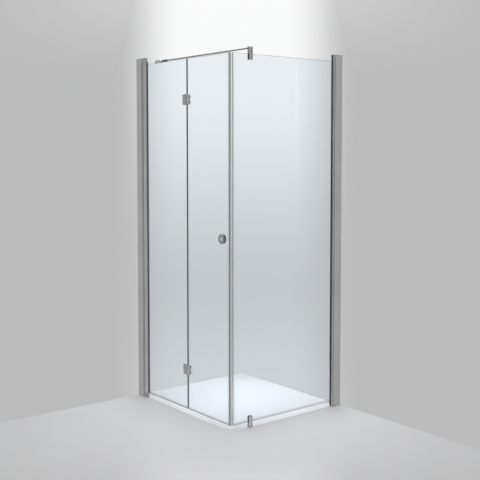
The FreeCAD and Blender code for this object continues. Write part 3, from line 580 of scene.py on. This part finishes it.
# The panel's magnet is painted almost white, far paler than the door's: painted light for the bright band
# beside the closing edge.
PANEL_MAGNET_PAINTED_LIGHT = Rubber("magnet_core_painted_light", "magnet_strip", (0.8, 0.81, 0.82, 1.0), (0.9, 0.905, 0.91, 1.0))
CAP_PLASTIC = Moulded(
    "silver_cap_plastic", "cap_plastic", (0.42, 0.43, 0.44, 1.0), (0.52, 0.53, 0.54, 1.0), 0.28, 0.4, 0.75
)
NYLON = Moulded("white_nylon", "nylon", (0.74, 0.74, 0.71, 1.0), (0.84, 0.84, 0.81, 1.0), 0.38, 0.52)


def dress(finish: Finish, *names: str) -> None:
    """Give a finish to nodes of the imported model.

    Args:
        finish: The finish.
        names: The nodes.
    """
    for name in names:
        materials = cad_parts[name].data.materials
        materials.clear()
        materials.append(finish.material())
        log.info("%s: %s", name, finish.name)


def rounded(corners: np.ndarray, radius: float | np.ndarray, steps: int = 4) -> np.ndarray:
    """Round the corners of a closed outline.

    Each corner C becomes the curve (1-t)^2 A + 2t(1-t) C + t^2 B, where A and B lie one radius from C on its
    two sides, or at 45% of a side that is too short.

    Args:
        corners: The corners, one row each.
        radius: Distance from a corner to the ends of its curve, one for all corners or a column of them.
        steps: Number of edges of each curve.

    Returns:
        The points of the rounded outline.
    """
    ends = []
    for step in (1, -1):
        side = np.roll(corners, step, axis=0) - corners
        length = np.linalg.norm(side, axis=1, keepdims=True)
        ends.append(corners + side / length * np.minimum(radius, 0.45 * length))
    t = np.linspace(0.0, 1.0, steps + 1)[None, :, None]
    start, middle, end = ends[0][:, None], corners[:, None], ends[1][:, None]
    curve = (1 - t) ** 2 * start + 2 * t * (1 - t) * middle + t**2 * end
    return curve.reshape(-1, 2)


def strip_outline(line: np.ndarray, thick: np.ndarray, steps: int = 6) -> np.ndarray:
    """Outline a strip of changing thickness that follows a line, with half-round ends.

    The two sides lie half a thickness from the line, along its normal.  Each end is the half circle
    tip + r (cos a T + sin a N), with T along the line and N its normal.

    Args:
        line: The points of the line, one row each.
        thick: The thickness at each point.
        steps: Number of edges of each half circle.

    Returns:
        The points of the closed outline.
    """
    along = np.gradient(line, axis=0)
    along /= np.linalg.norm(along, axis=1, keepdims=True)
    normal = np.stack([-along[:, 1], along[:, 0]], axis=1)
    half = 0.5 * thick[:, None]
    turn = np.linspace(math.pi / 2, -math.pi / 2, steps + 1)[1:-1, None]
    tip = line[-1] + half[-1] * (np.cos(turn) * along[-1] + np.sin(turn) * normal[-1])
    tail = line[0] - half[0] * (np.cos(turn) * along[0] + np.sin(turn) * normal[0])
    return np.concatenate([line + half * normal, tip, (line - half * normal)[::-1], tail])


@dataclass(frozen=True)
class Run:
    """A straight run that a profile is carried along: its start, its length and the profile's two axes."""

    start: np.ndarray
    along: np.ndarray
    first: np.ndarray
    second: np.ndarray
    length: float

    def outward(self, outline: np.ndarray) -> np.ndarray:
        """Turn an outline so that its faces look outwards, judged by its area, half the sum of u x dv.

        Args:
            outline: Points (u, v) of the profile, one row each.

        Returns:
            The points in the order that suits the run.
        """
        after = np.roll(outline, -1, axis=0)
        area = 0.5 * np.sum(outline[:, 0] * after[:, 1] - after[:, 0] * outline[:, 1])
        right_handed = np.dot(np.cross(self.first, self.second), self.along) > 0
        return outline if (area > 0) == right_handed else outline[::-1]

    def rings(self, outline: np.ndarray) -> np.ndarray:
        """Carry an outline: start + s along + u first + v second, for s at both ends of the run.

        Args:
            outline: Points (u, v) of the profile, one row each.

        Returns:
            The points of the two rings, one after the other.
        """
        ring = self.start + outline[:, :1] * self.first + outline[:, 1:] * self.second
        return np.concatenate([ring, ring + self.length * self.along])


@dataclass
class Extrusion:
    """Closed solids with the same run, gathered into the mesh of one piece."""

    points: list[np.ndarray] = field(default_factory=list)
    faces: list[tuple[int, ...]] = field(default_factory=list)

    def add(self, run: Run, outline: np.ndarray, hollow: np.ndarray | None = None) -> None:
        """Carry an outline along a run and close both ends.

        Side faces join each point to the next one and to their copies on the far ring.  The ends are one face
        each, or a band of quads where the profile has a hollow with as many points.

        Args:
            run: The run.
            outline: Points (u, v) of the profile.
            hollow: Points of its hollow, in the same order.
        """
        base = sum(len(part) for part in self.points)
        outline = run.outward(outline)
        count = len(outline)
        here = np.arange(count)
        after = np.roll(here, -1)
        sides = base + np.stack([here, after, after + count, here + count], axis=1)
        self.points.append(run.rings(outline))
        self.faces += map(tuple, sides.tolist())
        if hollow is None:
            self.faces.append(tuple((base + here[::-1]).tolist()))
            self.faces.append(tuple((base + count + here).tolist()))
            return
        inner = base + 2 * count
        self.points.append(run.rings(run.outward(hollow)))
        walls = inner + np.stack([after, here, here + count, after + count], axis=1)
        near = np.stack([base + after, base + here, inner + here, inner + after], axis=1)
        far = np.stack([base + here, base + after, inner + after, inner + here], axis=1) + count
        for faces in (walls, near, far):
            self.faces += map(tuple, faces.tolist())

    def piece(self, name: str, finish: Finish, body: Body, node: str) -> bpy.types.Object:
        """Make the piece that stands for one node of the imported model.

        Args:
            name: The piece's name.
            finish: Its finish.
            body: The body that it rides on.
            node: The node that it replaces.

        Returns:
            The new object.
        """
        mesh = bpy.data.meshes.new(name)
        mesh.from_pydata(np.concatenate(self.points).tolist(), [], self.faces)
        mesh.polygons.foreach_set("use_smooth", np.ones(len(mesh.polygons), dtype=bool))
        mesh.set_sharp_from_angle(angle=math.radians(40))
        mesh.materials.append(finish.material())
        made = bpy.data.objects.new(name, mesh)
        made.visible_shadow = finish.shades
        bpy.context.scene.collection.objects.link(made)
        dress(finish, node)
        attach(made, body.value)
        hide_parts(node)
        log.info("%s: %d faces in %s", name, len(self.faces), finish.name)
        return made


def middle(node: str) -> np.ndarray:
    """Give the middle of a node's box."""
    low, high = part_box(node)
    return (np.array(low) + np.array(high)) / 2


@dataclass
class GlassEdge:
    """Sizes of the clips that grip an edge of the glass."""

    half: float = 0.003
    wall: float = 0.001
    flare: float = 0.0006
    flare_long: float = 0.0018

    def clip(self, leg: float, other_leg: float | None = None) -> np.ndarray:
        """Outline a U-shaped clip round a glass edge, with both lips bent outwards.

        The line runs down one leg, across below the edge and up the other; u is across the pane and v runs
        from the edge into the pane.

        Args:
            leg: Length of the leg on the side of negative u.
            other_leg: Length of the other leg, or nothing where they are alike.

        Returns:
            The points (u, v) of the outline.
        """
        other_leg = leg if other_leg is None else other_leg
        out = self.half + self.wall / 2
        below = -self.wall / 2
        line = np.array(
            [
                (-out - self.flare, leg),
                (-out - self.flare / 3, leg - self.flare_long),
                (-out, leg - 2 * self.flare_long),
                (-out, 0.0),
                (-out - below, below),
                (out + below, below),
                (out, 0.0),
                (out, other_leg - 2 * self.flare_long),
                (out + self.flare / 3, other_leg - self.flare_long),
                (out + self.flare, other_leg),
            ]
        )
        return strip_outline(line, np.full(len(line), 0.94 * self.wall))


@dataclass
class DripSeal:
    """The clear strip on the lower edge of a pane, with a soft lip that bends to the shower side."""

    edge: GlassEdge = field(default_factory=GlassEdge)
    leg: float = 0.012
    root: float = 0.0018
    tip: float = 0.0009
    bend: float = 0.0035

    def lip(self, drop: float) -> np.ndarray:
        """Outline the hanging lip: u = bend t^2 and v falls evenly, with t from 0 to 1 down the lip.

        Args:
            drop: Distance from the glass edge to the lip's end.

        Returns:
            The points (u, v) of the outline.
        """
        t = np.linspace(0.0, 1.0, 12)
        fall = drop - self.edge.wall - self.tip / 2
        line = np.stack([self.bend * t**2, -self.edge.wall - fall * t], axis=1)
        return strip_outline(line, self.root + (self.tip - self.root) * t)

    def build(self, node: str, body: Body, runs: list[Run]) -> None:
        """Build the strip in place of a node.

        Args:
            node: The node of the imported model.
            body: The body that the strip rides on.
            runs: The lengths of strip, each starting on the glass edge.
        """
        drop = runs[0].start[2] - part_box(node)[0][2]
        strip = Extrusion()
        for run in runs:
            strip.add(run, self.edge.clip(self.leg))
            strip.add(run, self.lip(drop))
        strip.piece(node + "_strip", VINYL, body, node)


@dataclass
class GlazingGasket:
    """A rubber strip between the glass and its slot, with a rounded lip outside the mouth of the slot."""

    finish: Finish
    bar: float = 0.003
    lip: float = 0.0012
    round: float = 0.0008

    def build(self, node: str, body: Body, across: np.ndarray, out: np.ndarray) -> None:
        """Build the strip in place of a node.

        The section is the node's own: a bar in the slot and a wider lip at its mouth, with rounded corners.

        Args:
            node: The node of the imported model.
            body: The body that the strip rides on.
            across: Direction from the pane's middle plane to the strip.
            out: Direction from the floor of the slot to its mouth.
        """
        low, high = (np.array(corner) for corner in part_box(node))
        deep = float(abs(out) @ (high - low))
        thick = float(abs(across) @ (high - low))
        inner = np.where(across + out > 0, low, high)
        start = inner * (abs(across) + abs(out)) + low * Z
        run = Run(start, Z, across, out, high[2] - low[2])
        shelf = deep - self.lip
        section = [(0.0, 0.0), (self.bar, 0.0), (self.bar, shelf), (thick, shelf), (thick, deep), (0.0, deep)]
        strip = Extrusion()
        strip.add(run, rounded(np.array(section), self.round))
        strip.piece(node + "_strip", self.finish, body, node)


@dataclass
class MagnetHolder:
    """The clear strip on a glass edge that carries a magnet: a clip and a rounded box for the magnet."""

    edge: GlassEdge = field(default_factory=GlassEdge)
    leg: float = 0.012
    deep: float = 0.005
    wide: float = 0.012
    round: float = 0.0014

    def box(self, wide: float, deep: float) -> np.ndarray:
        """Outline a chamber with an even wall that is open at its back, v = 0, and rounded in front.

        Args:
            wide: Its outer width.
            deep: Its outer depth.

        Returns:
            The points (u, v) of the outline.
        """
        half, room = wide / 2, wide / 2 - self.edge.wall
        floor = deep - self.edge.wall
        corners = [(half, 0.0), (half, deep), (-half, deep), (-half, 0.0)]
        corners += [(-room, 0.0), (-room, floor), (room, floor), (room, 0.0)]
        radius = np.full((8, 1), 0.0001)
        radius[1:3] = self.round
        return rounded(np.array(corners), radius)

    def build(self, node: str, body: Body, clip: Run, box: Run, nose: float = 0.0) -> None:
        """Build the strip in place of a node.

        Args:
            node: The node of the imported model.
            body: The body that the strip rides on.
            clip: The run of the clip, on the glass edge.
            box: The run of the magnet box, at its open back.
            nose: Length of the hollow nose in front of the glass edge, if there is one.
        """
        strip = Extrusion()
        strip.add(clip, self.edge.clip(self.leg))
        strip.add(box, self.box(self.wide, self.deep))
        if nose:
            start = clip.start - self.edge.wall * clip.second
            front = Run(start, clip.along, -clip.first, -clip.second, clip.length)
            strip.add(front, self.box(2 * (self.edge.half + self.edge.wall), nose - self.edge.wall))
        strip.piece(node + "_strip", VINYL, body, node)


@dataclass
class UprightProfiles:
    """The two fixed upright profiles with their caps, pivot blocks, bushes and screws."""

    def build(self) -> None:
        """Dress the nodes."""
        dress(ALUMINIUM, "left_wall_channel", "right_wall_channel")
        dress(INSERT_ALUMINIUM, "glazing_profile")
        dress(CARRIER_ALUMINIUM, "hinge_carrier")
        dress(CAP_PLASTIC, "left_top_cap", "left_bottom_cap", "right_top_cap", "right_bottom_cap")
        dress(CAP_PLASTIC, "top_pivot_block", "bottom_pivot_block")
        dress(SEAL, "carrier_seal_strip")
        dress(NYLON, "pivot_bushes")
        dress(STEEL, "profile_lock_screws")


@dataclass
class SidePanel:
    """The fixed pane with its gaskets, drip strips, magnet strip and clamps."""

    band: float = 0.004
    drip: DripSeal = field(default_factory=DripSeal)
    holder: MagnetHolder = field(default_factory=MagnetHolder)

    def build(self) -> None:
        """Dress the pane and its clamps and build its strips."""
        dress(PANEL_GLASS, "panel_glass")
        dress(PANEL_MAGNET_PAINTED_LIGHT, "panel_magnet")
        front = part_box("bar_clamp")[0][1]
        # The clamps' painted highlight is a band 4 mm behind their front face.
        dress(CLAMP_CHROME.around((front + self.band) * Y), "foot_clamp", "bar_clamp")
        dress(BLACK_RUBBER, "foot_clamp_liner", "bar_clamp_liner", "foot_base_pad")
        dress(STEEL, "clamp_grub_screws")
        low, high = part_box("panel_glass")
        plane = (low[0] + high[0]) / 2

        seal_low, seal_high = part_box("panel_drip_seal")
        clamp_low, clamp_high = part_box("foot_clamp")
        ends = [(seal_low[1], clamp_low[1]), (clamp_high[1], seal_high[1])]
        runs = [Run(np.array([plane, first, low[2]]), Y, -X, Z, last - first) for first, last in ends]
        self.drip.build("panel_drip_seal", Body.FRAME, runs)
        GlazingGasket(GASKET).build("panel_gasket_outside", Body.FRAME, X, -Y)
        GlazingGasket(BLACK_RUBBER).build("panel_gasket_inside", Body.FRAME, -X, -Y)

        tall = high[2] - low[2]
        clip = Run(np.array([plane, low[1], low[2]]), Z, X, Y, tall)
        edge = self.holder.edge
        back = plane - edge.half - edge.wall
        box = Run(np.array([back, middle("panel_magnet")[1], low[2]]), Z, Y, -X, tall)
        nose = low[1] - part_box("panel_magnet_holder")[0][1]
        self.holder.build("panel_magnet_holder", Body.FRAME, clip, box, nose)


@dataclass
class InnerLeaf:
    """The leaf on the pivots: tube, pane, gaskets, drip strip and the seal on the fold line."""

    seal_wall: float = 0.001
    seal_round: float = 0.0022
    drip: DripSeal = field(default_factory=DripSeal)

    def build(self) -> None:
        """Dress the tube and the pane and build the strips."""
        dress(ALUMINIUM, "hinge_tube")
        dress(STEEL, "pivot_pins")
        dress(DOOR_GLASS, "inner_leaf_glass")
        plane = middle("inner_leaf_glass")[1]
        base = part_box("inner_leaf_glass")[0][2]
        low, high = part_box("inner_leaf_drip_seal")
        run = Run(np.array([low[0], plane, base]), X, Y, Z, high[0] - low[0])
        self.drip.build("inner_leaf_drip_seal", Body.INNER_LEAF, [run])
        for name, side in (("outside", -Y), ("inside", Y)):
            GlazingGasket(GASKET).build(f"leaf_gasket_{name}", Body.INNER_LEAF, side, X)
        self.fold_seal()

    def fold_seal(self) -> None:
        """Build the hollow bulb on the fold line: a rounded box with an even wall, carried upwards."""
        low, high = (np.array(corner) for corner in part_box("fold_seal"))
        deep, wide = high[0] - low[0], high[1] - low[1]
        run = Run(np.array([low[0], (low[1] + high[1]) / 2, low[2]]), Z, X, Y, high[2] - low[2])
        loops = []
        for inset in (0.0, self.seal_wall):
            u, v = deep - inset, wide / 2 - inset
            corners = np.array([(inset, -v), (u, -v), (u, v), (inset, v)])
            loops.append(rounded(corners, self.seal_round - inset, 5))
        bulb = Extrusion()
        bulb.add(run, *loops)
        bulb.piece("fold_seal_bulb", SEAL, Body.INNER_LEAF, "fold_seal")


@dataclass
class OuterLeaf:
    """The closing leaf: pane, drip strip, magnet strip and the pair of knobs."""

    drip: DripSeal = field(default_factory=DripSeal)
    holder: MagnetHolder = field(default_factory=MagnetHolder)

    def build(self) -> None:
        """Dress the pane and the knobs and build the strips."""
        dress(DOOR_GLASS, "outer_leaf_glass")
        dress(DOOR_MAGNET, "door_magnet")
        # The knobs' painted highlight is centred on the outer knob.
        dress(KNOB_CHROME.around(middle("knob_outside")), "knob_outside", "knob_inside")
        dress(VINYL, "knob_washers")
        dress(NYLON, "knob_sleeve")
        dress(STEEL, "knob_bolt")
        low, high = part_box("outer_leaf_glass")
        plane = (low[1] + high[1]) / 2
        seal_low, seal_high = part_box("outer_leaf_drip_seal")
        run = Run(np.array([seal_low[0], plane, low[2]]), X, Y, Z, seal_high[0] - seal_low[0])
        self.drip.build("outer_leaf_drip_seal", Body.OUTER_LEAF, [run])

        tall = high[2] - low[2]
        edge = np.array([high[0], plane, low[2]])
        clip = Run(edge, Z, Y, -X, tall)
        box = Run(edge, Z, -Y, X, tall)
        self.holder.build("door_magnet_holder", Body.OUTER_LEAF, clip, box)


@dataclass
class FoldHinges:
    """The two hinges on the fold line, with their plates, discs, gaskets, screws and pins."""

    levels: tuple[str, str] = ("lower", "upper")
    band: float = 0.013

    def build(self) -> None:
        """Dress the nodes; the wings get a painted highlight along a band beside the knuckles."""
        wing = WING_CHROME.around(middle("fold_hinge_pins") + self.band * X)
        for level in self.levels:
            dress(wing, f"{level}_hinge_inner_wing", f"{level}_hinge_outer_wing")
        dress(DISC_CHROME, "inner_glass_discs", "outer_glass_discs")
        dress(VINYL, "inner_hinge_gaskets", "outer_hinge_gaskets")
        dress(STEEL, "inner_hinge_screws", "outer_hinge_screws", "fold_hinge_pins")


@dataclass
class SupportBar:
    """The bar above the door with the rosette and socket at its end, its collar and its screws."""

    def build(self) -> None:
        """Dress the nodes."""
        dress(BAR_CHROME, "support_bar")
        dress(FITTING_CHROME, "bar_wall_rosette", "bar_socket")
        dress(DARK_CHROME, "bar_locking_collar")
        dress(STEEL, "bar_lock_screws")


@dataclass(frozen=True)
class SoftBox:
    """A soft rectangular lamp that hangs at one place and faces another."""

    name: str
    place: Point
    aim: Point
    wide: float
    tall: float
    power: float
    spread: float = 180.0

    def hang(self) -> None:
        """Hang the lamp where the camera doesn't see it; its power is in watts and its spread in degrees."""
        data = bpy.data.lights.new(self.name, "AREA")
        data.shape = "RECTANGLE"
        data.size = self.wide
        data.size_y = self.tall
        data.energy = self.power
        data.spread = math.radians(self.spread)
        lamp = bpy.data.objects.new(self.name, data)
        way = Vector(self.aim) - Vector(self.place)
        lamp.location = self.place
        lamp.rotation_euler = way.to_track_quat("-Z", "Y").to_euler()
        lamp.visible_camera = False
        bpy.context.scene.collection.objects.link(lamp)


@dataclass
class Studio:
    """Pale floor, soft light and camera."""

    floor_reach: float = 4.0
    floor_lines: int = 25
    floor_clear: float = 0.0005
    fade_start: float = 0.6
    fade_end: float = 1.9
    floor_light: Colour = (0.86, 0.86, 0.87, 1.0)
    floor_shade: Colour = (0.83, 0.83, 0.845, 1.0)
    far: Colour = (0.5, 0.5, 0.505, 1.0)
    glow: Colour = (0.945, 0.947, 0.95, 1.0)
    glow_way: Point = (-0.782, 0.614, 0.105)
    glow_size: Point = (0.16, 0.5, 0.25)
    camera_place: Point = (3.9006, -3.0774, 1.4608)
    camera_turn: tuple[float, float, float] = (86.625, 0.0, 51.521)
    lens: float = 64.21
    lift: float = -0.08
    lamps: tuple[SoftBox, ...] = (
        SoftBox("overhead", (0.2, -0.2, 4.2), (0.0, 0.0, 0.0), 3.0, 3.0, 56.0),
        SoftBox("above_shower", (0.0, 0.05, 3.0), (0.0, 0.05, 0.0), 0.86, 0.76, 1.5, 24.0),
        SoftBox("side_streak", (1.92, 1.41, 1.74), (0.44, 0.06, 1.6), 0.03, 0.85, 0.03),
    )

    def build(self) -> None:
        """Build everything that the enclosure is shown in."""
        self.floor()
        self.world()
        for lamp in self.lamps:
            lamp.hang()
        self.camera()

    def floor(self) -> None:
        """Build the floor, which ends along the two sides that the enclosure leaves open.

        It is a grid, x = left + reach s^2 and y = back - reach t^2, with s and t from 0 to 1.
        """
        count = self.floor_lines
        reach = self.floor_reach * np.linspace(0.0, 1.0, count) ** 2
        x, y = np.meshgrid(CAD_BOX[0][0] + reach, CAD_BOX[1][1] - reach)
        grid = np.stack([x, y, np.full_like(x, -self.floor_clear)], axis=2)
        number = np.arange(count * count).reshape(count, count)
        near, far = number[:-1], number[1:]
        quads = np.stack([near[:, :-1], far[:, :-1], far[:, 1:], near[:, 1:]], axis=2).reshape(-1, 4)
        mesh = bpy.data.meshes.new("floor")
        mesh.from_pydata(grid.reshape(-1, 3).tolist(), [], quads.tolist())
        mesh.materials.append(self.floor_finish())
        made = bpy.data.objects.new("floor", mesh)
        bpy.context.scene.collection.objects.link(made)

    def floor_finish(self) -> bpy.types.Material:
        """Make the floor's material: pale and nearly even, and clear at a distance from the middle.

        Returns:
            The material.
        """
        shader = Shader(bpy.data.materials.new("pale_floor"))
        cloud = shader.noise((1.5, 1.5, 1.5), 4.0)
        pale = shader.add(
            "ShaderNodeBsdfPrincipled",
            {
                "Base Color": shader.tint(shader.spread(cloud, 0.0, 1.0), self.floor_shade, self.floor_light),
                "Roughness": shader.spread(cloud, 0.45, 0.6),
                "Specular IOR Level": 0.25,
            },
        )
        away = shader.distance((0.0, 0.0, 0.0), (1.0, 1.0, 0.0))
        clear = shader.add("ShaderNodeBsdfTransparent", {"Color": (1.0, 1.0, 1.0, 1.0)})
        share = shader.ramp(away, self.fade_start, self.fade_end, 0.0, 1.0)
        return shader.close(shader.mix(share, pale, clear))

    def world(self) -> None:
        """Surround everything with a soft pale light that glows behind the enclosure.

        The glow fades to both sides and from the top downwards, and grows a little again low down.  A wider
        and fainter glow lies round its top.
        """
        shader = Shader(bpy.data.worlds.new("studio"))
        bpy.context.scene.world = shader.owner
        sockets = {
            "Vector": shader.coordinates.outputs["Generated"],
            "Location": self.glow_way,
            "Rotation": (0.0, 0.0, math.radians(self.camera_turn[2])),
            "Scale": self.glow_size,
        }
        place = shader.add("ShaderNodeMapping", sockets, vector_type="TEXTURE")
        aside, ahead, above = shader.add("ShaderNodeSeparateXYZ", {0: place.outputs[0]}).outputs
        beside = shader.sum("ABSOLUTE", aside)
        across = shader.ramp(beside, 0.37, 0.88, 1.0, 0.0)
        upward = shader.ramp(above, -1.1, -0.05, 0.26, 1.0)
        downward = shader.ramp(above, -1.55, -1.0, 0.2, 0.0)
        forward = shader.ramp(ahead, -1.0, -0.4, 0.0, 1.0)
        middle_glow = shader.sum("MULTIPLY", across, shader.sum("ADD", upward, downward))
        high_glow = shader.sum(
            "MULTIPLY", shader.ramp(above, -0.1, 0.3, 0.0, 0.24), shader.ramp(beside, 0.6, 2.0, 1.0, 0.0)
        )
        share = shader.sum("MULTIPLY", shader.sum("MAXIMUM", middle_glow, high_glow), forward)
        shader.close(shader.add("ShaderNodeBackground", {"Color": shader.tint(share, self.far, self.glow)}))

    def camera(self) -> None:
        """Set up the camera."""
        data = bpy.data.cameras.new("camera")
        data.lens = self.lens
        data.shift_y = self.lift
        made = bpy.data.objects.new("camera", data)
        made.location = self.camera_place
        made.rotation_euler = [math.radians(angle) for angle in self.camera_turn]
        bpy.context.scene.collection.objects.link(made)
        bpy.context.scene.camera = made
        bpy.context.scene.view_settings.view_transform = "Standard"


def main() -> None:
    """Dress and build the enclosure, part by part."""
    logging.basicConfig(level=logging.INFO, format="%(name)s: %(message)s")
    parts = (UprightProfiles(), SidePanel(), InnerLeaf(), OuterLeaf(), FoldHinges(), SupportBar(), Studio())
    for part in parts:
        log.info("building %s", type(part).__name__)
        part.build()


if __name__ == "__main__":
    main()
